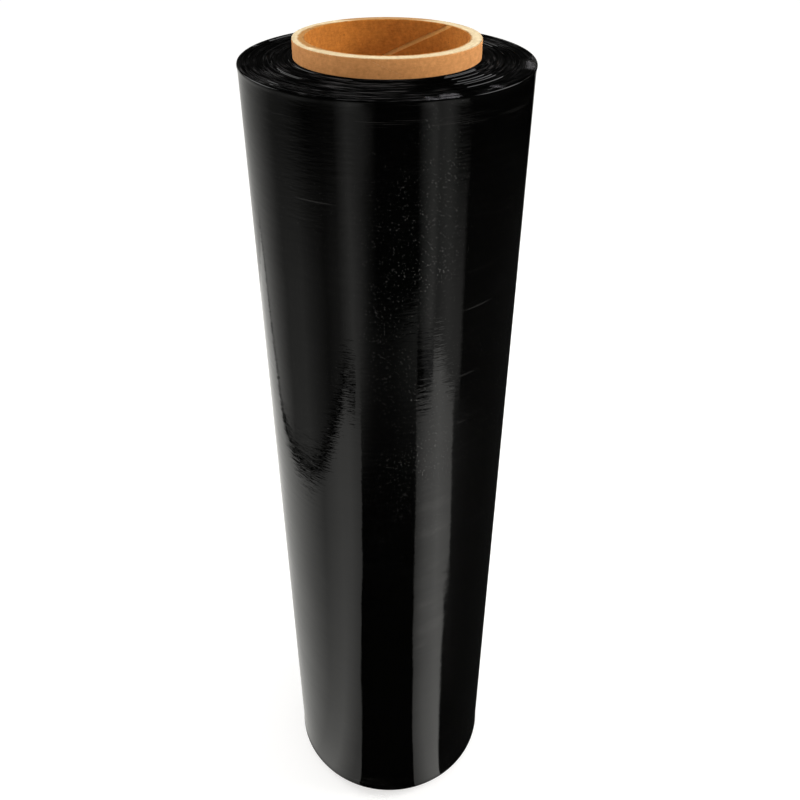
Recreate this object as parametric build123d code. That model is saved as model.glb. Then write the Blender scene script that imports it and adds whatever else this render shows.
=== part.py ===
"""A roll of stretch wrap: plastic film wound on a spiral-wound cardboard core.

Millimetres. The roll's axis is Z and it stands on the lower end of its core,
so the origin is the centre of the core's bottom end.
"""
from build123d import *
import math
import os

# The core: a paperboard tube that fits a three inch mandrel
core_bore = 76.2
core_wall = 6.1
core_rim_radius = 0.5        # the soft outer edges of its two cut ends
core_overhang = 9.5          # how much bare core stands out of the film at each end

# The innermost paper ply is a strip wound as a left-hand spiral, and its edges don't quite meet
ply_thickness = 0.5
ply_gap = 2.0                # the open seam, measured square to its edges
ply_lead = 115.0             # how far the seam climbs in one full turn
seam_angle_at_top = 37.5     # degrees, where the seam meets the top rim

# The wound film: its turns are one solid
film_width = 508.0           # over the rings that stand out furthest
film_diameter = 139.7
film_edge_radius = 0.8       # the rolled-over outer corner of the two ends

# The turns don't line up perfectly, so each end is a set of shallow rings
ring_count = 9
ring_depth = 0.9             # from the highest ring to the lowest
step_run = 0.4               # the slope between two rings, measured along the radius
ring_rhythm = 140.0          # degrees from one ring to the next in the wave that sets their heights
top_phase = 0.0              # degrees, where that wave starts at the core on the top end
bottom_phase = 25.0          # and on the bottom end

bore_radius = core_bore / 2
core_radius = bore_radius + core_wall
film_radius = film_diameter / 2
core_length = film_width + 2 * core_overhang
film_bottom = core_overhang
film_top = film_bottom + film_width
ring_pitch = (film_radius - core_radius + step_run) / ring_count
ring_flat = ring_pitch - step_run


def make_core():
    """The paperboard tube, with the open spiral seam of its inner ply."""
    with BuildPart() as core:
        with BuildSketch(Plane.XZ) as section:
            with Locations((bore_radius, 0)):
                Rectangle(core_wall, core_length, align=(Align.MIN, Align.MIN))
            fillet(section.vertices().group_by(Axis.X)[-1], core_rim_radius)
        revolve(axis=Axis.Z)
        add(make_seam_cutter(), mode=Mode.SUBTRACT)
    return core.part


def make_seam_cutter():
    """The strip of space along the inner ply's seam, a little longer than the core."""
    run_out = 2 * ply_gap
    inward = ply_gap / 2     # how far the cutter reaches into the open bore
    climb = core_length + 2 * run_out
    path = Helix(ply_lead, climb, bore_radius, lefthand=True)
    across = Plane(origin=path @ 0, x_dir=(1, 0, 0), z_dir=path % 0)
    with BuildPart() as cutter:
        with BuildSketch(across):
            with Locations((-inward, 0)):
                Rectangle(inward + ply_thickness, ply_gap, align=(Align.MIN, Align.CENTER))
        sweep(path=path, is_frenet=True)
    angle_at_start = seam_angle_at_top + (climb - run_out) / ply_lead * 360
    return Location((0, 0, -run_out), (0, 0, angle_at_start)) * cutter.part


def ring_drop(ring, phase):
    """How far one ring lies inside the film's full width."""
    wave = math.cos(math.radians(ring * ring_rhythm + phase))
    return ring_depth * (1 - wave) / 2


def end_outline(phase):
    """The rings of one end from the core outwards, as radius and drop at each corner."""
    drops = [ring_drop(ring, phase) for ring in range(ring_count)]
    highest = min(drops)
    outline = []
    for ring, drop in enumerate(drops):
        inner = core_radius + ring * ring_pitch
        outline.append((inner, drop - highest))
        outline.append((inner + ring_flat, drop - highest))
    return outline


def make_film():
    """The wound film, tight on the core."""
    top = [(radius, film_top - drop) for radius, drop in end_outline(top_phase)]
    bottom = [(radius, film_bottom + drop) for radius, drop in end_outline(bottom_phase)]
    with BuildPart() as film:
        with BuildSketch(Plane.XZ) as section:
            with BuildLine():
                Polyline(*bottom, *reversed(top), close=True)
            make_face()
            outer_corners = section.vertices().group_by(Axis.X)[-1]
            fillet(outer_corners, min(film_edge_radius, ring_flat / 2))
        revolve(axis=Axis.Z)
    return film.part


pieces = {
    "cardboard_core": make_core(),
    "film_roll": make_film(),
}

os.makedirs("parts", exist_ok=True)
for name, piece in pieces.items():
    export_step(piece, f"parts/{name}.step")
    print(name, "volume", round(piece.volume), "mm3, valid", piece.is_valid)
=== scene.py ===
"""A roll of glossy black stretch wrap on a spiral-wound cardboard core, standing on its end.

Laid out as an add-on: settings, one operator for each piece and one for the stage, and a panel.
Metres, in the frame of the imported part: +Z is the roll's axis, and the core stands on z = 0.
"""

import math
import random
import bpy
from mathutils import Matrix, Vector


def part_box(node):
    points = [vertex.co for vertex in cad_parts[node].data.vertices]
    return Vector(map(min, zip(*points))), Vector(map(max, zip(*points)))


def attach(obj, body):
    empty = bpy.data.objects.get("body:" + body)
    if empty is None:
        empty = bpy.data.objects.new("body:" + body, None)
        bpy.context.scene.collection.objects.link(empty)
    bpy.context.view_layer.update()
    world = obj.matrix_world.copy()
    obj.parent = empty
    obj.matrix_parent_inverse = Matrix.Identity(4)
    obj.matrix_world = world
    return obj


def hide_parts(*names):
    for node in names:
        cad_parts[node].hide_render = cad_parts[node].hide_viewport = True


bl_info = {
    "name": "Stretch Wrap Roll",
    "version": (1, 0, 0),
    "blender": (4, 5, 0),
    "location": "View3D > Sidebar > Wrap Roll",
    "description": "Builds a roll of stretch wrap, its cardboard core and the studio around them",
    "category": "Object",
}

import bpy
from mathutils import Euler, Matrix, Vector

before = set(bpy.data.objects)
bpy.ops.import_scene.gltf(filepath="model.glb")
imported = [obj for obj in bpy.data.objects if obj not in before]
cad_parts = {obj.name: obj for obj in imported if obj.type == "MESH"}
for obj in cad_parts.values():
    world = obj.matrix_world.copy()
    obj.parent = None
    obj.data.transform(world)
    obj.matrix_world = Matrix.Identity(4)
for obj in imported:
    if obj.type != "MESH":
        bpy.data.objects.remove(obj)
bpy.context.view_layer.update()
core_low, core_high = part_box("cardboard_core")
film_low, film_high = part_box("film_roll")

MM = 0.001
MICRON = 0.000001

# The film. Folds are (degrees round, mm up, mm long each way, slope), and dust (scale, largest, whiteness).
FOLDS = [(39, 406, 11, 0.02), (35, 368, 7, 0.03), (33.5, 338, 4, 0.03), (-28, 462, 12, 0.0)]
FOLD_WIDTH = 0.6 * MM
DUST_SIZES = [(560.0, 0.11, 0.9), (1050.0, 0.23, 0.75), (1650.0, 0.32, 0.6)]
SMALLEST_SPECK = 0.012
# The lip's outline from the end round to the side: (share of the flare outwards, mm in from the end).
LIP = [(-0.9, -0.05), (-0.2, 0.03), (0.55, 0.22), (0.95, 0.6), (0.85, 1.1), (0.3, 1.9), (0.05, 2.8)]
LIP_LENGTH = 6 * MM
TURN_STEP = 0.10 * MM

# The studio, in metres.
WARM_TINT = (1.0, 0.995, 0.955)
FLOOR_RADIUS = 14
ROOM_RADIUS = 9.0
ROOM_HEIGHT = 4.0
LIGHT_DISTANCE = 1.5
LIGHT_SIZE = 0.7
PANEL_DISTANCE = 1.6
PANEL_FOOT = 0.85
PANEL_HEIGHT = 0.7


# ---------------------------------------------------------------- settings


class FilmSettings(bpy.types.PropertyGroup):
    """Sizes and finish of the wound film."""

    core_radius: bpy.props.FloatProperty(
        name="Core radius", description="Radius that the film is wound on", default=44.2 * MM, unit="LENGTH"
    )
    segments: bpy.props.IntProperty(name="Segments", description="Steps round the roll", default=240, min=24)
    ring_count: bpy.props.IntProperty(
        name="Rings", description="Rings of turns that show on each end", default=9, min=2
    )
    turns_in_ring: bpy.props.IntProperty(
        name="Turns in a ring", description="Finer steps inside each ring", default=4, min=1
    )
    ring_depth: bpy.props.FloatProperty(
        name="Ring depth", description="From the highest ring to the lowest",
        default=0.30 * MM, unit="LENGTH",
    )
    turn_jitter: bpy.props.FloatProperty(
        name="Turn jitter", description="How unevenly the finer steps lie", default=0.16 * MM, unit="LENGTH"
    )
    turn_slope: bpy.props.FloatProperty(
        name="Turn slope", description="How far a finer step may slope, as rise over run", default=0.10
    )
    inner_rise: bpy.props.FloatProperty(
        name="Inner rise", description="How far the turns beside the core stand up",
        default=1.25 * MM, unit="LENGTH",
    )
    front_lift: bpy.props.FloatProperty(
        name="Front lift", description="Lean of the turns beside the core",
        default=math.radians(0.8), unit="ROTATION",
    )
    ring_tilt: bpy.props.FloatProperty(
        name="Ring tilt", description="How far a ring may lean", default=math.radians(0.10), unit="ROTATION"
    )
    lip_flare: bpy.props.FloatProperty(
        name="Lip flare", description="How far the outermost edge stands out",
        default=0.32 * MM, unit="LENGTH",
    )
    band_wobble: bpy.props.FloatProperty(
        name="Band wobble", description="Change of radius along the roll", default=0.03 * MM, unit="LENGTH"
    )
    bands: bpy.props.IntProperty(name="Bands", description="Bands along the roll", default=36, min=4)
    colour: bpy.props.FloatVectorProperty(
        name="Colour", description="Colour of the film",
        default=(0.0006, 0.0006, 0.00055), size=3, subtype="COLOR",
    )
    # Also the colour of the painted sheen wisps and of the painted highlight along the creases.
    dust_and_sheen: bpy.props.FloatVectorProperty(
        name="Dust", description="Colour of the dust on the film",
        default=(0.34, 0.33, 0.31), size=3, subtype="COLOR",
    )
    creases: bpy.props.IntProperty(
        name="Creases", description="Folds in the film round the back", default=7, min=0
    )
    gloss: bpy.props.FloatProperty(
        name="Roughness", description="Roughness of the film's side", default=0.030, min=0, max=1
    )
    seed: bpy.props.IntProperty(name="Seed", description="Seed of the uneven turns", default=7)


class CoreSettings(bpy.types.PropertyGroup):
    """Sizes and colours of the cardboard core."""

    wall: bpy.props.FloatProperty(
        name="Wall", description="Thickness of the tube", default=6.1 * MM, unit="LENGTH"
    )
    inner_ply: bpy.props.FloatProperty(
        name="Inner ply", description="Thickness of the innermost ply", default=0.5 * MM, unit="LENGTH"
    )
    inner_gap: bpy.props.FloatProperty(
        name="Inner seam", description="Width of the innermost ply's open seam",
        default=2.0 * MM, unit="LENGTH",
    )
    inner_lead: bpy.props.FloatProperty(
        name="Inner lead", description="Climb of the inner seam in a turn", default=115 * MM, unit="LENGTH"
    )
    inner_angle: bpy.props.FloatProperty(
        name="Inner seam angle", description="Where the inner seam meets the rim",
        default=math.radians(37.5), unit="ROTATION",
    )
    outer_ply: bpy.props.FloatProperty(
        name="Outer ply", description="Thickness of the outermost ply", default=0.12 * MM, unit="LENGTH"
    )
    outer_gap: bpy.props.FloatProperty(
        name="Outer seam", description="Width of the outermost ply's seam", default=0.25 * MM, unit="LENGTH"
    )
    outer_lead: bpy.props.FloatProperty(
        name="Outer lead", description="Climb of the outer seam in a turn", default=122 * MM, unit="LENGTH"
    )
    outer_angle: bpy.props.FloatProperty(
        name="Outer seam angle", description="Where the outer seam meets the rim",
        default=math.radians(-101.5), unit="ROTATION",
    )
    rim_softness: bpy.props.FloatProperty(
        name="Rim softness", description="Rounding of the cut edges", default=0.28 * MM, unit="LENGTH"
    )
    fray: bpy.props.FloatProperty(
        name="Fray", description="How rough the rim's inner edge is", default=0.12 * MM, unit="LENGTH"
    )
    segments: bpy.props.IntProperty(name="Segments", description="Steps round the core", default=192, min=24)
    wall_colour: bpy.props.FloatVectorProperty(
        name="Outside", description="Colour of the outside",
        default=(0.68, 0.30, 0.098), size=3, subtype="COLOR",
    )
    bore_colour: bpy.props.FloatVectorProperty(
        name="Bore", description="Colour of the bore",
        default=(0.545, 0.195, 0.029), size=3, subtype="COLOR",
    )
    seam_colour: bpy.props.FloatVectorProperty(
        name="Seam", description="Colour of the ply under the open seam",
        default=(0.74, 0.41, 0.12), size=3, subtype="COLOR",
    )
    rim_colour: bpy.props.FloatVectorProperty(
        name="Rim", description="Colour of the cut ends",
        default=(0.80, 0.635, 0.385), size=3, subtype="COLOR",
    )


class StageSettings(bpy.types.PropertyGroup):
    """The camera and the studio."""

    lens: bpy.props.FloatProperty(name="Lens", description="Focal length in millimetres", default=37.19)
    distance: bpy.props.FloatProperty(
        name="Distance", description="Camera to the roll's axis, level", default=0.4096, unit="LENGTH"
    )
    above_film: bpy.props.FloatProperty(
        name="Height", description="Camera above the film's top", default=0.093, unit="LENGTH"
    )
    pitch: bpy.props.FloatProperty(
        name="Pitch", description="Camera's tilt below level", default=math.radians(35.292), unit="ROTATION"
    )
    yaw: bpy.props.FloatProperty(
        name="Yaw", description="Camera's turn to the right", default=math.radians(0.963), unit="ROTATION"
    )
    roll: bpy.props.FloatProperty(
        name="Roll", description="Camera's roll", default=math.radians(0.328), unit="ROTATION"
    )
    floor_colour: bpy.props.FloatVectorProperty(
        name="Floor", description="Colour of the floor", default=(0.56, 0.56, 0.56), size=3, subtype="COLOR"
    )
    room_glow: bpy.props.FloatProperty(
        name="Room glow", description="Soft light from all round", default=0.74
    )
    key_power: bpy.props.FloatProperty(
        name="Key light", description="Power of the right light in watts", default=15.8
    )
    fill_power: bpy.props.FloatProperty(
        name="Fill light", description="Power of the left light in watts", default=8.6
    )
    floor_glow: bpy.props.FloatProperty(
        name="Floor glow", description="Glow that keeps the floor pale", default=0.6
    )


# ---------------------------------------------------------------- node helpers


def add_node(tree, kind, inputs=None, **settings):
    """Adds a node. inputs maps socket names or numbers to values or to other nodes' output sockets."""
    made = tree.nodes.new(kind)
    for key, value in settings.items():
        setattr(made, key, value)
    for key, value in (inputs or {}).items():
        if isinstance(value, bpy.types.NodeSocket):
            tree.links.new(value, made.inputs[key])
        else:
            made.inputs[key].default_value = value
    return made


def math_node(tree, operation, *values):
    """A Math node's output for the given values or sockets."""
    return add_node(tree, "ShaderNodeMath", dict(enumerate(values)), operation=operation).outputs[0]


def times(tree, *values):
    """The product of the given values or sockets."""
    product = values[0]
    for value in values[1:]:
        product = math_node(tree, "MULTIPLY", product, value)
    return product


def far_from(tree, value, centre):
    """How far a value lies from a centre, either way."""
    return math_node(tree, "ABSOLUTE", math_node(tree, "SUBTRACT", value, centre))


def step_up(tree, value, start, end):
    """0 below start, 1 above end and smooth between them. start may be above end."""
    inputs = {"Value": value, "From Min": start, "From Max": end}
    made = add_node(tree, "ShaderNodeMapRange", inputs, interpolation_type="SMOOTHSTEP")
    return made.outputs["Result"]


def vector_node(tree, x, y, z):
    """Three numbers joined into a vector."""
    return add_node(tree, "ShaderNodeCombineXYZ", {0: x, 1: y, 2: z}).outputs[0]


def noise(tree, vector, scale, detail=2.0, roughness=0.5, distortion=0.0):
    """A noise texture's height, from about 0 to 1."""
    inputs = {
        "Vector": vector, "Scale": scale, "Detail": detail, "Roughness": roughness, "Distortion": distortion,
    }
    return add_node(tree, "ShaderNodeTexNoise", inputs).outputs[0]


def mix_colours(tree, amount, first, second, blend="MIX"):
    """Two colours mixed by an amount from 0 to 1."""
    made = add_node(tree, "ShaderNodeMix", data_type="RGBA", blend_type=blend)
    for socket, value in ((made.inputs[0], amount), (made.inputs[6], first), (made.inputs[7], second)):
        if isinstance(value, bpy.types.NodeSocket):
            tree.links.new(value, socket)
        elif isinstance(value, (int, float)):
            socket.default_value = value
        else:
            socket.default_value = (*value, 1)
    return made.outputs[2]


def bump(tree, height, distance, normal=None):
    """A Bump node's normal. distance is the real height that a height of 1 stands for, in metres."""
    inputs = {"Height": height, "Distance": distance, "Strength": 1.0}
    if normal is not None:
        inputs["Normal"] = normal
    return add_node(tree, "ShaderNodeBump", inputs).outputs[0]


def empty_material(name):
    """A material with no nodes yet, and its tree."""
    material = bpy.data.materials.new(name)
    material.use_nodes = True
    material.node_tree.nodes.clear()
    return material, material.node_tree


def new_material(name):
    """A material with a Principled shader, and its tree, shader and Object coordinates."""
    material, tree = empty_material(name)
    shader = add_node(tree, "ShaderNodeBsdfPrincipled")
    add_node(tree, "ShaderNodeOutputMaterial", {"Surface": shader.outputs[0]})
    place = add_node(tree, "ShaderNodeTexCoord").outputs["Object"]
    return material, tree, shader, place


def split(tree, place):
    """x, y and z of a vector socket."""
    return add_node(tree, "ShaderNodeSeparateXYZ", {0: place}).outputs[:3]


def azimuth_of(tree, x, y):
    """The angle round the axis, 0 at the camera's side and rising towards +X."""
    return math_node(tree, "ARCTAN2", x, math_node(tree, "MULTIPLY", y, -1.0))


def radius_of(tree, x, y):
    """The distance from the axis."""
    flat = vector_node(tree, x, y, 0.0)
    return add_node(tree, "ShaderNodeVectorMath", {0: flat}, operation="LENGTH").outputs["Value"]


def ring_noise(tree, x, y, radius, thin, scale, **settings):
    """Noise drawn out round the axis. thin is how much faster it changes outwards than round."""
    vector = vector_node(tree, x, y, math_node(tree, "MULTIPLY", radius, thin))
    return noise(tree, vector, scale, **settings)


def stretched(tree, place, across, along):
    """Object coordinates scaled by one number across the axis and another along it."""
    scale = (across, across, along)
    return add_node(tree, "ShaderNodeMapping", {"Vector": place, "Scale": scale}).outputs[0]


# ---------------------------------------------------------------- film materials


def crease(tree, arc, z, start, height, run, slope):
    """1 along a short slanting fold in the film and 0 away from it. arc and z are metres round and up."""
    along = math_node(tree, "SUBTRACT", arc, start)
    middle = math_node(tree, "MULTIPLY_ADD", along, slope, height)
    ridge = step_up(tree, far_from(tree, z, middle), FOLD_WIDTH, 0.0)
    inside = step_up(tree, math_node(tree, "ABSOLUTE", along), run, run * 0.3)
    return math_node(tree, "MULTIPLY", ridge, inside)


def film_creases(film, tree, arc, z):
    """All the folds: a few on the right, as the film was drawn tight there, and others round the roll."""
    rng = random.Random(film.seed + 1)
    places = list(FOLDS)
    for _ in range(film.creases):
        turn = rng.uniform(90, 320)
        places.append((turn, rng.uniform(60, 440), rng.uniform(5, 14), rng.uniform(-0.06, 0.12)))
    total = 0.0
    for turn, height, run, slope in places:
        start = math.radians((turn + 180) % 360 - 180) * film_high.x
        fold = crease(tree, arc, z, start, film_low.z + height * MM, run * MM, slope)
        total = math_node(tree, "ADD", total, fold)
    return total


def film_dust(tree, place, azimuth, z):
    """Specks of dust of many sizes, thickest on the upper half of the front."""
    patches = step_up(tree, noise(tree, place, 15.0, detail=3.0, roughness=0.6), 0.36, 0.62)
    patches = math_node(tree, "MULTIPLY_ADD", patches, 0.6, 0.4)
    upper = step_up(tree, z, film_low.z + 150 * MM, film_high.z - 190 * MM)
    front = step_up(tree, far_from(tree, azimuth, 0.18), 0.50, 0.15)
    front = math_node(tree, "MULTIPLY_ADD", front, 0.55, 0.4)
    lowered = math_node(tree, "MULTIPLY_ADD", step_up(tree, azimuth, 0.05, 0.35), -22 * MM, z)
    below_top = step_up(tree, lowered, film_high.z - 2 * MM, film_high.z - 26 * MM)
    thick = times(tree, patches, front, upper, below_top)
    total = 0.0
    for scale, largest, whiteness in DUST_SIZES:
        cells = add_node(tree, "ShaderNodeTexVoronoi", {"Vector": place, "Scale": scale, "Randomness": 1.0})
        chance = add_node(tree, "ShaderNodeSeparateColor", {0: cells.outputs["Color"]}).outputs[0]
        size = times(tree, math_node(tree, "POWER", chance, 3.4), largest, thick)
        inner = math_node(tree, "MULTIPLY", size, 0.5)
        inputs = {"Value": cells.outputs["Distance"], "From Min": size, "From Max": inner}
        speck = add_node(tree, "ShaderNodeMapRange", inputs).outputs["Result"]
        real = math_node(tree, "GREATER_THAN", size, SMALLEST_SPECK)
        total = math_node(tree, "MAXIMUM", total, times(tree, speck, real, whiteness))
    return total


def film_sheen_wisps(tree, azimuth, arc, z):
    """Painted sheen: thin pale wisps that lean a little across the lower right of the front."""
    slant = vector_node(tree, arc, math_node(tree, "MULTIPLY_ADD", arc, -0.22, z), 0.0)
    slant = add_node(tree, "ShaderNodeMapping", {"Vector": slant, "Scale": (22, 75, 1)}).outputs[0]
    cloud = step_up(tree, noise(tree, slant, 1.0, detail=3.0, roughness=0.55), 0.48, 0.72)
    low = step_up(tree, far_from(tree, z, film_low.z + 220 * MM), 150 * MM, 50 * MM)
    side = step_up(tree, far_from(tree, azimuth, 0.385), 0.20, 0.08)
    return times(tree, cloud, low, side)


def film_side_material(film):
    """The outside of the roll: near mirror black, with fine hoop lines, creases and a little dust, plus
    painted sheen in pale wisps and a painted highlight along each crease.
    """
    material, tree, shader, place = new_material("film_side")
    x, y, z = split(tree, place)
    azimuth = azimuth_of(tree, x, y)
    arc = math_node(tree, "MULTIPLY", azimuth, film_high.x)

    swells = noise(tree, stretched(tree, place, 26, 18), 1.0, detail=1.0)
    hoop_bands = noise(tree, stretched(tree, place, 7, 42), 1.0, detail=1.0)
    hoop_lines = noise(tree, stretched(tree, place, 60, 330), 1.0, detail=2.0, roughness=0.6)
    hoop_hairs = noise(tree, stretched(tree, place, 150, 820), 1.0, detail=2.0, roughness=0.6)
    near_top = step_up(tree, z, film_high.z - 17 * MM, film_high.z - 2 * MM)
    near_foot = step_up(tree, z, film_low.z + 17 * MM, film_low.z + 2 * MM)
    near_end = math_node(tree, "MAXIMUM", near_top, near_foot)
    folds = film_creases(film, tree, arc, z)

    normal = bump(tree, swells, 420 * MICRON)
    for height, microns in ((hoop_bands, 60), (hoop_lines, 70), (hoop_hairs, 48), (folds, 45)):
        normal = bump(tree, height, microns * MICRON, normal)

    strokes = step_up(tree, noise(tree, stretched(tree, place, 30, 2600), 1.0, detail=1.0), 0.60, 0.72)
    stroke_places = noise(tree, stretched(tree, place, 22, 90), 1.0, detail=1.0)
    stroke_places = step_up(tree, stroke_places, 0.42, 0.6)
    strokes = times(tree, strokes, stroke_places, math_node(tree, "MULTIPLY_ADD", near_end, 0.15, 0.010))
    dust_and_sheen = math_node(tree, "MAXIMUM", film_dust(tree, place, azimuth, z), strokes)
    haze = noise(tree, stretched(tree, place, 90, 600), 1.0)
    # The wisps' share is painted sheen and the folds' share is a painted highlight along each crease; the
    # haze is a faint film haze.
    for amount, weight in ((haze, 0.0012), (film_sheen_wisps(tree, azimuth, arc, z), 0.03), (folds, 0.045)):
        dust_and_sheen = math_node(tree, "MULTIPLY_ADD", amount, weight, dust_and_sheen)

    colour = mix_colours(tree, dust_and_sheen, tuple(film.colour), tuple(film.dust_and_sheen))
    tree.links.new(colour, shader.inputs["Base Color"])
    cloud = noise(tree, stretched(tree, place, 10, 60), 1.0)
    rough = math_node(tree, "MULTIPLY_ADD", cloud, 0.03, film.gloss - 0.01)
    rough = math_node(tree, "MULTIPLY_ADD", dust_and_sheen, 0.5, rough)
    tree.links.new(rough, shader.inputs["Roughness"])
    tree.links.new(normal, shader.inputs["Normal"])
    shader.inputs["IOR"].default_value = 1.5
    return material


def film_end_material(film):
    """The edges of the turns: dark grooves round the axis that catch the light like a record, with painted
    sheen on pale thread lines and painted glints where the outer edge is crinkled.
    """
    material, tree, shader, place = new_material("film_end")
    x, y, _ = split(tree, place)
    radius = radius_of(tree, x, y)
    grooves = ring_noise(tree, x, y, radius, 42.0, 22.0, detail=3.0, roughness=0.7)
    threads = ring_noise(tree, x, y, radius, 25.0, 66.0, roughness=0.7)
    sheen_patches = noise(tree, place, 34.0, detail=3.0, roughness=0.6)
    outwards = step_up(tree, radius, film_high.x - 9 * MM, film_high.x - 3 * MM)
    crinkle_places = times(tree, step_up(tree, noise(tree, place, 52.0), 0.50, 0.72), outwards)
    crinkle = times(tree, noise(tree, place, 1900.0, roughness=0.7), crinkle_places)

    normal = bump(tree, grooves, 260 * MICRON)
    normal = bump(tree, threads, 110 * MICRON, normal)
    normal = bump(tree, crinkle, 220 * MICRON, normal)

    # Painted sheen: pale thread lines along the ring edges, in patches.
    pale = times(tree, step_up(tree, threads, 0.50, 0.64), step_up(tree, sheen_patches, 0.40, 0.62))
    colour = mix_colours(tree, pale, tuple(film.colour), (0.052, 0.050, 0.050))
    # Painted glints: pale specks in the crinkled places by the outer edge.
    painted_glints = times(tree, step_up(tree, crinkle, 0.33, 0.58), 0.23)
    colour = mix_colours(tree, painted_glints, colour, (0.50, 0.48, 0.51))
    tree.links.new(colour, shader.inputs["Base Color"])
    rough = math_node(tree, "MULTIPLY_ADD", noise(tree, place, 60.0), 0.2, 0.34)
    rough = math_node(tree, "MULTIPLY_ADD", crinkle_places, -0.26, rough)
    tree.links.new(rough, shader.inputs["Roughness"])
    tree.links.new(normal, shader.inputs["Normal"])
    shader.inputs["IOR"].default_value = 1.18
    return material


# ---------------------------------------------------------------- cardboard materials


def rim_paper(tree, place, x, y, radius, pale):
    """The pale cut plies, browner towards the inner edge, more widely on the left and across the back, and
    split in places.
    """
    ragged = times(tree, noise(tree, place, 260.0, detail=3.0, roughness=0.7), 2.2 * MM)
    wide = times(tree, step_up(tree, x, -24 * MM, -36 * MM), 2.0 * MM)
    away = math_node(tree, "SUBTRACT", math_node(tree, "SUBTRACT", radius, ragged), wide)
    edge = step_up(tree, away, 38.9 * MM, 37.5 * MM)
    back = step_up(tree, math_node(tree, "SUBTRACT", y, ragged), 33 * MM, 37 * MM)
    browned = math_node(tree, "MAXIMUM", edge, times(tree, back, 0.85))
    paper = mix_colours(tree, browned, pale, (0.50, 0.235, 0.062))
    on_line = step_up(tree, far_from(tree, radius, 38.75 * MM), 0.40 * MM, 0.15 * MM)
    open_places = step_up(tree, noise(tree, place, 150.0, detail=3.0, roughness=0.7), 0.50, 0.60)
    return mix_colours(tree, times(tree, on_line, open_places, 0.75), paper, (0.17, 0.085, 0.032))


def cardboard_material(name, colour, contrast, fleck_amount, ply_lines=0.0):
    """Kraft paper: cloudy colour, pulp, short fibres, dark flecks and a faintly rough surface."""
    material, tree, shader, place = new_material(name)
    x, y, _ = split(tree, place)
    layers = [
        (noise(tree, place, 210.0, detail=3.0, roughness=0.6), 1.0),
        (noise(tree, place, 560.0, roughness=0.7), 1.3),
        (noise(tree, stretched(tree, place, 300, 1500), 1.0, distortion=0.6), 0.7),
    ]
    if ply_lines:
        radius = radius_of(tree, x, y)
        layers.append((ring_noise(tree, x, y, radius, 18.0, 60.0, detail=3.0), ply_lines))
    shade = 1.0
    for height, weight in layers:
        change = math_node(tree, "SUBTRACT", height, 0.5)
        shade = math_node(tree, "MULTIPLY_ADD", change, weight * contrast, shade)
    tone = add_node(tree, "ShaderNodeCombineColor", {
        0: math_node(tree, "POWER", shade, 0.8), 1: shade, 2: math_node(tree, "POWER", shade, 1.3),
    }).outputs[0]
    paper = tuple(colour)
    if ply_lines:
        paper = rim_paper(tree, place, x, y, radius, paper)
    base = mix_colours(tree, 1.0, paper, tone, blend="MULTIPLY")
    cells = add_node(tree, "ShaderNodeTexVoronoi", {"Vector": place, "Scale": 560.0})
    chance = add_node(tree, "ShaderNodeSeparateColor", {0: cells.outputs["Color"]}).outputs[0]
    size = times(tree, math_node(tree, "POWER", chance, 6.0), 0.34)
    fleck = times(tree, step_up(tree, cells.outputs["Distance"], size, 0.0), fleck_amount)
    tree.links.new(mix_colours(tree, fleck, base, (0.09, 0.04, 0.014)), shader.inputs["Base Color"])
    surface = math_node(tree, "ADD", layers[1][0], math_node(tree, "MULTIPLY", layers[2][0], 0.5))
    tree.links.new(bump(tree, surface, 140 * MICRON), shader.inputs["Normal"])
    shader.inputs["Roughness"].default_value = 0.85
    shader.inputs["Specular IOR Level"].default_value = 0.2
    return material


# ---------------------------------------------------------------- modelling helpers


def start_circle(name, segments, radius, height):
    """A ring of vertices round the axis as a new object, in edit mode with all of it selected."""
    bpy.ops.object.select_all(action="DESELECT")
    bpy.ops.mesh.primitive_circle_add(vertices=segments, radius=radius, location=(0, 0, height))
    bpy.ops.object.transform_apply(location=True, rotation=True, scale=True)
    piece = bpy.context.active_object
    piece.name = name
    piece.data.name = name
    edit_all()
    return piece


def edit_all():
    """Edit mode with everything selected."""
    bpy.ops.object.mode_set(mode="EDIT")
    bpy.ops.mesh.select_all(action="SELECT")


def edit_none(select_by):
    """Edit mode for picking vertices or edges, with nothing selected, and back to object mode."""
    bpy.ops.object.mode_set(mode="EDIT")
    bpy.ops.mesh.select_mode(type=select_by)
    bpy.ops.mesh.select_all(action="DESELECT")
    bpy.ops.object.mode_set(mode="OBJECT")


def next_loop(radius, height, new_radius, new_height, lean=(0.0, 0.0)):
    """Extrudes the selected loop and carries it to its new radius, height and lean."""
    centre = (0, 0, new_height)
    bpy.ops.mesh.extrude_edges_move()
    factor = new_radius / radius
    bpy.ops.transform.resize(value=(factor, factor, 1), center_override=(0, 0, height))
    bpy.ops.transform.translate(value=(0, 0, new_height - height))
    for axis, angle in zip("XY", lean):
        if angle:
            bpy.ops.transform.rotate(value=angle, orient_axis=axis, center_override=centre)


def close_lathe():
    """Bridges the first and last loops of a lathed shape, and turns its faces outwards."""
    bpy.ops.mesh.select_all(action="DESELECT")
    bpy.ops.mesh.select_non_manifold(extend=False)
    bpy.ops.mesh.bridge_edge_loops()
    bpy.ops.mesh.select_all(action="SELECT")
    bpy.ops.mesh.normals_make_consistent(inside=False)
    bpy.ops.object.mode_set(mode="OBJECT")


def apply_modifier(piece, kind, **settings):
    """Adds a modifier with the given settings and applies it."""
    modifier = piece.modifiers.new(kind.title(), kind)
    for key, value in settings.items():
        setattr(modifier, key, value)
    bpy.context.view_layer.objects.active = piece
    bpy.ops.object.modifier_apply(modifier=modifier.name)


def ride_root(piece, node):
    """Ties a finished piece to the part's body and hides the solid that it stands for."""
    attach(piece, "root")
    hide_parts(node)


# ---------------------------------------------------------------- the wound film


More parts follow.
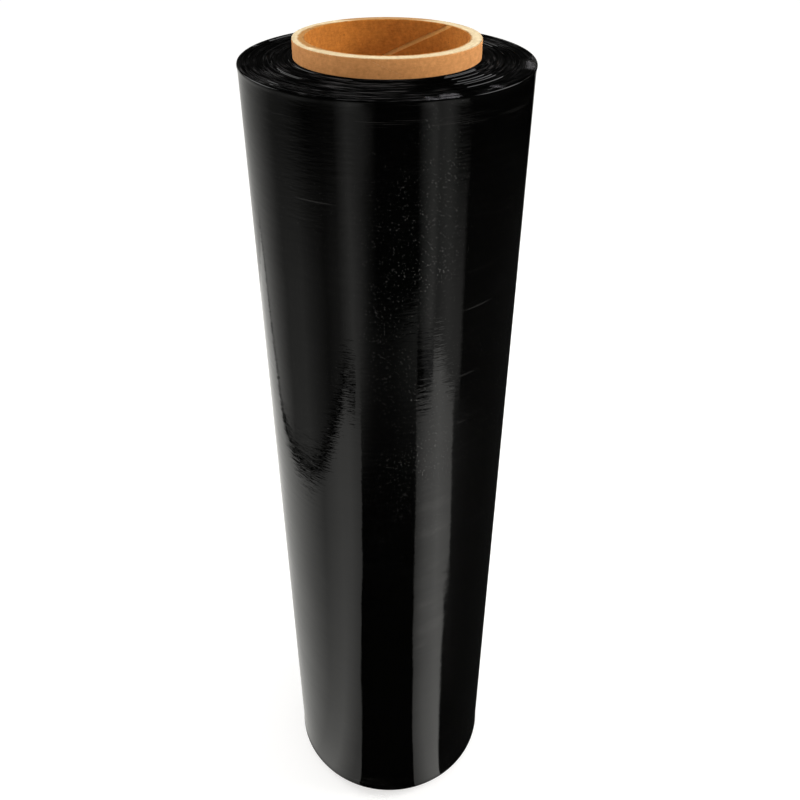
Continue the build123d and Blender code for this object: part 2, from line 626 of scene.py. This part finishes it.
def end_rings(film, rng):
    """One end's turns, core outwards: (inner radius, outer radius, two drops, lean x, lean y)."""
    count = film.ring_count * film.turns_in_ring
    pitch = (film_high.x - film.core_radius) / count
    rings = []
    lean = (0.0, 0.0)
    for ring in range(count):
        inwards = 1 - (ring + 0.5) / count
        if ring % film.turns_in_ring == 0:
            drop = rng.uniform(-0.5, 0.5) * film.ring_depth * (1 - 0.6 * inwards)
            lean = (rng.gauss(0, film.ring_tilt), rng.gauss(0, film.ring_tilt))
        rise = film.inner_rise * inwards ** 1.5
        fine_drop = drop - rise + rng.uniform(0, film.turn_jitter)
        slope = rng.gauss(0, film.turn_slope) * pitch
        fine_lean = [angle + rng.gauss(0, film.ring_tilt * 0.3) for angle in lean]
        fine_lean[0] += film.front_lift * inwards
        inner = film.core_radius + ring * pitch
        rings.append((inner, inner + pitch, fine_drop - slope / 2, fine_drop + slope / 2, *fine_lean))
    return rings


def end_loops(film, rng, height, up):
    """The loops of one end from the core outwards, without its lip. up is 1 for the top, -1 for the foot."""
    loops = []
    for inner, outer, inner_drop, outer_drop, lean_x, lean_y in end_rings(film, rng):
        loops.append((inner + TURN_STEP / 2, height - up * inner_drop, lean_x, lean_y))
        loops.append((outer - TURN_STEP / 2, height - up * outer_drop, lean_x, lean_y))
    loops[0] = (film.core_radius, *loops[0][1:])
    loops.pop()
    return loops


def film_outline(film, rng):
    """All the loops of the film: (radius, height, lean x, lean y) out along the top, down, and in below."""
    radius = film_high.x
    loops = end_loops(film, rng, film_high.z, 1)
    for share, below in LIP:
        loops.append((radius + share * film.lip_flare, film_high.z - below * MM, 0.0, 0.0))
    side_top = film_high.z - LIP_LENGTH
    side_foot = film_low.z + LIP_LENGTH
    for band in range(film.bands + 1):
        height = side_top + (side_foot - side_top) * band / film.bands
        loops.append((radius - rng.uniform(0, film.band_wobble), height, 0.0, 0.0))
    for share, above in reversed(LIP):
        loops.append((radius + share * film.lip_flare, film_low.z + above * MM, 0.0, 0.0))
    loops.extend(reversed(end_loops(film, rng, film_low.z, -1)))
    return loops


class ROLL_OT_film(bpy.types.Operator):
    """Winds the film: its side, its two lips and the uneven rings on both ends"""

    bl_idname = "roll.film"
    bl_label = "Wound film"

    def execute(self, context):
        film = context.scene.roll_film
        rng = random.Random(film.seed)
        loops = film_outline(film, rng)
        radius, height, lean_x, lean_y = loops[0]
        piece = start_circle("wound_film", film.segments, radius, height)
        for new_radius, new_height, new_lean_x, new_lean_y in loops[1:]:
            lean = (new_lean_x - lean_x, new_lean_y - lean_y)
            next_loop(radius, height, new_radius, new_height, lean)
            radius, height, lean_x, lean_y = new_radius, new_height, new_lean_x, new_lean_y
        close_lathe()
        self.finish_film(piece, film)
        ride_root(piece, "film_roll")
        return {"FINISHED"}

    def finish_film(self, piece, film):
        """Smooth shading, and the end material on everything that faces along the axis."""
        piece.data.materials.append(film_side_material(film))
        piece.data.materials.append(film_end_material(film))
        for face in piece.data.polygons:
            reach = math.hypot(face.center.x, face.center.y)
            faces_axis = abs(face.normal.z) > 0.6 and reach < film_high.x
            face.material_index = 1 if faces_axis or reach < film.core_radius + 0.1 * MM else 0
        bpy.ops.object.shade_smooth_by_angle(angle=math.radians(38))


# ---------------------------------------------------------------- the cardboard core


def wind_ply(name, inner, thickness, lead, gap, angle_at_top, segments):
    """One paper strip wound as a left-hand spiral, trimmed level with the core's two ends."""
    slope = math.atan2(lead, 2 * math.pi * inner)
    width = lead - gap / math.cos(slope)
    turns = math.ceil((core_high.z - core_low.z) / lead) + 2
    start = core_low.z - lead
    half_gap = (lead - width) / 2
    angle = angle_at_top + 2 * math.pi * (core_high.z - half_gap - start) / lead
    centre = (inner + thickness / 2, 0, start - width / 2)
    bpy.ops.object.select_all(action="DESELECT")
    bpy.ops.mesh.primitive_plane_add(size=1, location=centre)
    strip = bpy.context.active_object
    strip.name = name
    edit_all()
    bpy.ops.transform.resize(value=(thickness, width, 1))
    bpy.ops.transform.rotate(value=math.radians(90), orient_axis="X", center_override=centre)
    bpy.ops.mesh.delete(type="ONLY_FACE")
    bpy.ops.object.mode_set(mode="OBJECT")
    bpy.ops.object.transform_apply(location=True, rotation=True, scale=True)
    apply_modifier(
        strip, "SCREW", axis="Z", angle=-2 * math.pi * turns, screw_offset=lead * turns,
        steps=segments * turns, render_steps=segments * turns, iterations=1, use_smooth_shade=False,
    )
    strip.rotation_euler.z = angle
    bpy.ops.object.transform_apply(location=True, rotation=True, scale=True)
    for height, normal in ((core_low.z, (0, 0, -1)), (core_high.z, (0, 0, 1))):
        edit_all()
        bpy.ops.mesh.bisect(plane_co=(0, 0, height), plane_no=normal, use_fill=True, clear_outer=True)
        bpy.ops.object.mode_set(mode="OBJECT")
    edit_all()
    bpy.ops.mesh.normals_make_consistent(inside=False)
    bpy.ops.object.mode_set(mode="OBJECT")
    return strip


def core_body(inner, outer, segments):
    """The glued plies between the innermost and the outermost one."""
    body = start_circle("core_body", segments, inner, core_high.z)
    next_loop(inner, core_high.z, outer, core_high.z)
    next_loop(outer, core_high.z, outer, core_low.z)
    next_loop(outer, core_low.z, inner, core_low.z)
    close_lathe()
    return body


class ROLL_OT_core(bpy.types.Operator):
    """Winds the cardboard core: the open inner ply, the glued body and the outer ply"""

    bl_idname = "roll.core"
    bl_label = "Cardboard core"

    def execute(self, context):
        core = context.scene.roll_core
        outer = core_high.x
        inner = outer - core.wall
        body_inner = inner + core.inner_ply
        body_outer = outer - core.outer_ply
        body = core_body(body_inner, body_outer, core.segments)
        inner_sizes = (core.inner_ply, core.inner_lead, core.inner_gap, core.inner_angle)
        outer_sizes = (core.outer_ply, core.outer_lead, core.outer_gap, core.outer_angle)
        plies = [
            wind_ply("inner_ply", inner, *inner_sizes, core.segments),
            wind_ply("outer_ply", body_outer, *outer_sizes, core.segments),
        ]
        bpy.ops.object.select_all(action="DESELECT")
        for piece in (body, *plies):
            piece.select_set(True)
        context.view_layer.objects.active = body
        bpy.ops.object.join()
        body.name = "kraft_core"
        body.data.name = "kraft_core"
        self.soften_rims(body, core, inner, outer)
        self.paint_core(body, core, inner, body_inner, body_outer)
        body.visible_glossy = False
        ride_root(body, "cardboard_core")
        return {"FINISHED"}

    def soften_rims(self, body, core, inner, outer):
        """Rounds the cut edges, and roughens the inner one where the paper frays."""
        hair = 0.02 * MM
        guard = core.rim_softness * 3
        for height in (core_low.z + guard, core_high.z - guard):
            edit_all()
            bpy.ops.mesh.bisect(plane_co=(0, 0, height), plane_no=(0, 0, 1))
            bpy.ops.object.mode_set(mode="OBJECT")
        for radius in (inner, outer):
            edit_none("EDGE")
            for edge in body.data.edges:
                ends = [body.data.vertices[number].co for number in edge.vertices]
                level = all(min(end.z - core_low.z, core_high.z - end.z) < hair for end in ends)
                round_rim = all(abs(math.hypot(end.x, end.y) - radius) < hair * 3 for end in ends)
                edge.select = level and round_rim
            bpy.ops.object.mode_set(mode="EDIT")
            bpy.ops.mesh.bevel(offset=core.rim_softness, segments=3)
            bpy.ops.object.mode_set(mode="OBJECT")
        edit_none("VERT")
        reach = core.rim_softness * 1.2
        for vertex in body.data.vertices:
            near_end = min(vertex.co.z - core_low.z, core_high.z - vertex.co.z) < reach
            vertex.select = near_end and math.hypot(vertex.co.x, vertex.co.y) < inner + reach
        bpy.ops.object.mode_set(mode="EDIT")
        bpy.ops.transform.vertex_random(offset=core.fray, uniform=1.0, seed=3)
        bpy.ops.object.mode_set(mode="OBJECT")

    def paint_core(self, body, core, inner, body_inner, body_outer):
        """Gives the outside, the bore, the ply under the open seam and the cut rims their papers.

        A finish is its colour, contrast, flecks and, on the rims, how clearly the plies show.
        """
        finishes = {
            "core_outside": (core.wall_colour, 0.42, 0.3),
            "core_bore": (core.bore_colour, 0.6, 0.8),
            "core_seam": (core.seam_colour, 0.40, 0.2),
            "core_rim": (core.rim_colour, 0.42, 0.35, 1.2),
        }
        body.data.materials.clear()
        for name, finish in finishes.items():
            body.data.materials.append(cardboard_material(name, *finish))
        order = list(finishes)
        for face in body.data.polygons:
            outwards = Vector((face.center.x, face.center.y, 0)).normalized().dot(face.normal)
            reach = math.hypot(face.center.x, face.center.y)
            if abs(face.normal.z) > 0.3 and reach > body_inner + 0.05 * MM:
                name = "core_rim"
            elif abs(face.normal.z) > 0.3:
                name = "core_bore"
            elif outwards > 0.5 and reach > (body_inner + body_outer) / 2:
                name = "core_outside"
            elif outwards < -0.5 and reach < body_inner - core.inner_ply / 2:
                name = "core_bore"
            else:
                name = "core_seam"
            face.material_index = order.index(name)
        bpy.ops.object.shade_smooth_by_angle(angle=math.radians(35))


# ---------------------------------------------------------------- the stage


def compass_ramp(tree, turn, stops):
    """Brightness by direction. stops are (degrees from the camera's side towards +X, brightness) pairs."""
    ramp = add_node(tree, "ShaderNodeValToRGB", {"Fac": turn})
    colours = ramp.color_ramp.elements
    for number, (degrees, glow) in enumerate(stops):
        place = degrees / 360 + 0.5
        if number < 2:
            stop = colours[number]
            stop.position = place
        else:
            stop = colours.new(place)
        stop.color = (*(glow * part for part in WARM_TINT), 1)
    return ramp.outputs[0]


def glow_material(name, near_stops, far_stops, reach, by_height=False):
    """Glow that changes round the compass and outwards, or upwards.

    It follows near_stops up to reach[0] metres and far_stops from reach[1] on.
    """
    material, tree = empty_material(name)
    x, y, z = split(tree, add_node(tree, "ShaderNodeTexCoord").outputs["Object"])
    turn = math_node(tree, "MULTIPLY_ADD", azimuth_of(tree, x, y), 0.5 / math.pi, 0.5)
    distance = z if by_height else radius_of(tree, x, y)
    inputs = {"Value": distance, "From Min": reach[0], "From Max": reach[1]}
    far = add_node(tree, "ShaderNodeMapRange", inputs).outputs["Result"]
    near_glow = compass_ramp(tree, turn, near_stops)
    far_glow = compass_ramp(tree, turn, far_stops)
    glow = add_node(tree, "ShaderNodeEmission", {"Color": mix_colours(tree, far, near_glow, far_glow)})
    add_node(tree, "ShaderNodeOutputMaterial", {"Surface": glow.outputs[0]})
    return material


def compass(degrees, distance, height):
    """A place so many degrees from the camera's side towards +X."""
    angle = math.radians(degrees)
    return Vector((math.sin(angle) * distance, -math.cos(angle) * distance, height))


def plain_glow(name, brightness):
    """One even glow."""
    material, tree = empty_material(name)
    glow = add_node(tree, "ShaderNodeEmission", {"Color": (brightness, brightness, brightness, 1)})
    add_node(tree, "ShaderNodeOutputMaterial", {"Surface": glow.outputs[0]})
    return material


def area_light(name, degrees, elevation, power, target):
    """A soft square light aimed at a target, which reflections don't show."""
    bpy.ops.object.select_all(action="DESELECT")
    rise = math.radians(elevation)
    height = target.z + LIGHT_DISTANCE * math.sin(rise)
    place = compass(degrees, LIGHT_DISTANCE * math.cos(rise), height)
    bpy.ops.object.light_add(type="AREA", location=place)
    light = bpy.context.active_object
    light.name = name
    light.data.shape = "SQUARE"
    light.data.size = LIGHT_SIZE
    light.data.energy = power
    light.visible_glossy = False
    light.rotation_euler = (target - place).to_track_quat("-Z", "Y").to_euler()


class ROLL_OT_stage(bpy.types.Operator):
    """Sets the pale floor, the soft lights, the reflected cards and the camera"""

    bl_idname = "roll.stage"
    bl_label = "Studio"

    def execute(self, context):
        stage = context.scene.roll_stage
        self.make_floor(stage)
        self.make_cards()
        self.make_lights(stage)
        self.make_room(context, stage)
        self.make_camera(context, stage)
        context.scene.view_settings.view_transform = "Standard"
        return {"FINISHED"}

    def make_floor(self, stage):
        """A wide plain floor."""
        bpy.ops.object.select_all(action="DESELECT")
        bpy.ops.mesh.primitive_circle_add(
            vertices=64, radius=FLOOR_RADIUS, fill_type="NGON", location=(0, 0, 0)
        )
        floor = bpy.context.active_object
        floor.name = "floor"
        material, _, shader, _ = new_material("floor")
        shader.inputs["Base Color"].default_value = (*stage.floor_colour, 1)
        shader.inputs["Roughness"].default_value = 0.9
        shader.inputs["Specular IOR Level"].default_value = 0.0
        shader.inputs["Emission Color"].default_value = (1.0, 0.99, 0.97, 1)
        shader.inputs["Emission Strength"].default_value = stage.floor_glow
        floor.data.materials.append(material)
        floor.visible_glossy = False

    def make_cards(self):
        """What the glossy film reflects: a pale sheet, black card laid over it, whose strip along the
        sheet's left edge is a painted shadow, and the dim room beyond.

        Glow is (degrees from the camera's side towards +X, brightness), and corners are metres.
        """
        beyond_near = [
            (-180, 0.95), (-120, 0.50), (-95, 0.18), (-76, 0.27), (-51, 0.07), (-40, 0.15), (-29, 0.50),
            (-16, 0.06), (-9, 0.0), (23, 0.0), (35, 0.52), (40, 0.26), (50, 0.42), (63, 0.27), (66, 0.02),
            (155, 0.01), (170, 0.9),
        ]
        beyond_far = [
            (-180, 0.65), (-145, 0.52), (-120, 0.33), (-98, 0.11), (-84, 0.10), (-63, 0.0), (-40, 0.03),
            (-30, 0.30), (-19, 0.21), (-9, 0.0), (23, 0.0), (36, 0.43), (40, 0.29), (47, 0.37), (56, 0.04),
            (64, 0.0), (155, 0.0), (170, 0.7),
        ]
        sheet_near = [
            (-180, 0.9), (-135, 0.60), (-91, 0.62), (-60, 0.47), (-43, 0.66), (-27, 0.32), (18, 0.30),
            (30, 0.70), (42, 0.86), (60, 0.74), (110, 0.6), (180, 0.9),
        ]
        sheet_far = [
            (-180, 1.15), (-98, 0.70), (-63, 0.35), (-45, 0.65), (-36, 0.69), (-27, 0.50), (24, 0.34),
            (33, 0.80), (45, 1.14), (61, 0.70), (110, 0.7), (180, 1.15),
        ]
        dark = plain_glow("card_edge_glow", 0.0)
        beyond = glow_material("beyond_glow", beyond_near, beyond_far, (0.85, 1.7))
        circle = [compass(degrees, ROOM_RADIUS, 0.0) for degrees in range(0, 360, 10)]
        self.lay_card("beyond_sheet", 0.6, [(corner.x, corner.y) for corner in circle], beyond)
        dim = [(-180, 0.02), (180, 0.02)]
        wall = glow_material("wall_glow", beyond_far, dim, (-0.1, 1.5), by_height=True)
        for start, end in zip(circle, circle[1:] + circle[:1]):
            self.stand_card("room_wall", start, end, ROOM_HEIGHT, wall)

        left_edge = [(-0.78, 0.70), (-0.43, 0.22), (-0.385, -0.18), (-0.37, -0.48)]
        notch = [(0.25, -0.565), (0.385, -0.485), (0.45, -0.555)]
        sheet = glow_material("sheet_glow", sheet_near, sheet_far, (0.10, 0.34))
        self.lay_card("pale_sheet", 1.2, left_edge + notch + [(0.50, -0.50), (0.50, 0.75)], sheet)
        # A painted shadow: a black strip along the sheet's left edge, seen only in reflections.
        self.lay_card("sheet_edge_shadow", 1.2, left_edge + [
            (-0.28, -0.50), (-0.30, -0.56), (-0.41, -0.53), (-0.425, -0.18), (-0.475, 0.24), (-0.86, 0.77),
        ], dark)
        notch_glow = plain_glow("sheet_notch_glow", 0.17)
        self.lay_card("sheet_notch", 1.2, notch + [(0.36, -0.64), (0.28, -0.665)], notch_glow)
        self.lay_card("sheet_notch_edge", 1.4, [
            (0.23, -0.53), (0.365, -0.47), (0.325, -0.54), (0.335, -0.64), (0.30, -0.66),
        ], dark)

        front = glow_material("front_card_glow", [(-180, 0.0), (180, 0.0)], [
            (-24, 0.40), (-20, 0.21), (-15, 0.09), (-10, 0.055), (4, 0.055), (24, 0.20),
        ], (0.40, 0.76))
        self.lay_card("front_card", 1.8, [
            (0.022, -0.02), (0.022, -0.073), (0.163, -0.364), (0.35, -0.77), (-0.37, -0.77),
            (-0.225, -0.50), (-0.170, -0.361), (-0.093, -0.176), (-0.028, -0.073), (-0.028, -0.02),
        ], front)
        side = glow_material("side_card_glow", [(-180, 0.01), (180, 0.01)], [
            (60, 0.15), (63, 0.09), (70, 0.055), (80, 0.03), (100, 0.015), (150, 0.01),
        ], (0.12, 0.46))
        self.lay_card("side_card", 1.8, [
            (0.0, 0.0), (0.037, -0.057), (0.052, -0.066), (0.198, -0.144), (0.254, -0.146), (0.46, -0.268),
            (0.52, -0.28), (0.55, 0.8), (0.05, 0.8), (0.0, 0.08),
        ], side)

    def lay_card(self, name, height, corners, glow):
        """A flat card on the floor, so many millimetres up."""
        self.make_card(name, [(x, y, height * MM) for x, y in corners], glow)

    def stand_card(self, name, start, end, height, glow):
        """An upright card between two places."""
        above = Vector((0, 0, height))
        self.make_card(name, [start, end, end + above, start + above], glow)

    def make_card(self, name, corners, glow):
        """A card that only shows as a reflection: it lights nothing and shadows nothing."""
        bpy.ops.object.select_all(action="DESELECT")
        mesh = bpy.data.meshes.new(name)
        mesh.from_pydata([tuple(corner) for corner in corners], [], [tuple(range(len(corners)))])
        card = bpy.data.objects.new(name, mesh)
        bpy.context.scene.collection.objects.link(card)
        mesh.materials.append(glow)
        card.visible_camera = False
        card.visible_diffuse = False
        card.visible_shadow = False
        card.visible_transmission = False
        card.visible_volume_scatter = False

    def make_lights(self, stage):
        """A strong light on the right, a weaker one on the left, and a panel by each for the reflections."""
        target = Vector((0, 0, film_high.z))
        area_light("key_light", 90, 25, stage.key_power, target)
        area_light("fill_light", -115, 22, stage.fill_power, target)
        for side, brightness, ends in (("right", 2.4, (118, 72)), ("left", 1.6, (-96, -134))):
            start, end = (compass(degrees, PANEL_DISTANCE, PANEL_FOOT) for degrees in ends)
            glow = plain_glow(f"{side}_panel_glow", brightness)
            self.stand_card(f"{side}_panel", start, end, PANEL_HEIGHT, glow)

    def make_room(self, context, stage):
        """White to the eye, soft for lighting and dark in reflections."""
        world = bpy.data.worlds.new("room")
        context.scene.world = world
        world.use_nodes = True
        tree = world.node_tree
        tree.nodes.clear()
        ray = add_node(tree, "ShaderNodeLightPath").outputs
        white, soft, dark = (
            add_node(tree, "ShaderNodeBackground", {"Color": (1, 1, 1, 1), "Strength": strength}).outputs[0]
            for strength in (1.0, stage.room_glow, 0.0)
        )
        unseen = add_node(tree, "ShaderNodeMixShader", {0: ray["Is Glossy Ray"], 1: soft, 2: dark})
        inputs = {0: ray["Is Camera Ray"], 1: unseen.outputs[0], 2: white}
        whole = add_node(tree, "ShaderNodeMixShader", inputs)
        add_node(tree, "ShaderNodeOutputWorld", {"Surface": whole.outputs[0]})

    def make_camera(self, context, stage):
        """The view from a little above the roll, looking down at it."""
        lens = bpy.data.cameras.new("camera")
        lens.lens = stage.lens
        camera = bpy.data.objects.new("camera", lens)
        context.scene.collection.objects.link(camera)
        aim = Euler((math.pi / 2 - stage.pitch, 0, -stage.yaw)).to_matrix()
        turn = aim @ Matrix.Rotation(stage.roll, 3, "Z")
        place = (0, -stage.distance, film_high.z + stage.above_film)
        camera.matrix_world = Matrix.Translation(place) @ turn.to_4x4()
        context.scene.camera = camera


# ---------------------------------------------------------------- panel and registration


class ROLL_PT_panel(bpy.types.Panel):
    """Lists the settings and the operators that build the roll"""

    bl_label = "Stretch Wrap Roll"
    bl_space_type = "VIEW_3D"
    bl_region_type = "UI"
    bl_category = "Wrap Roll"

    def draw(self, context):
        scene = context.scene
        for settings, operator in (
            (scene.roll_film, ROLL_OT_film),
            (scene.roll_core, ROLL_OT_core),
            (scene.roll_stage, ROLL_OT_stage),
        ):
            box = self.layout.box()
            for name in settings.__annotations__:
                box.prop(settings, name)
            box.operator(operator.bl_idname)


CLASSES = (
    FilmSettings, CoreSettings, StageSettings, ROLL_OT_film, ROLL_OT_core, ROLL_OT_stage, ROLL_PT_panel,
)


def register():
    for cls in CLASSES:
        bpy.utils.register_class(cls)
    bpy.types.Scene.roll_film = bpy.props.PointerProperty(type=FilmSettings)
    bpy.types.Scene.roll_core = bpy.props.PointerProperty(type=CoreSettings)
    bpy.types.Scene.roll_stage = bpy.props.PointerProperty(type=StageSettings)


def unregister():
    del bpy.types.Scene.roll_stage
    del bpy.types.Scene.roll_core
    del bpy.types.Scene.roll_film
    for cls in reversed(CLASSES):
        bpy.utils.unregister_class(cls)


def main():
    """Builds the roll and its studio."""
    register()
    bpy.ops.roll.film()
    bpy.ops.roll.core()
    bpy.ops.roll.stage()


if __name__ == "__main__":
    main()
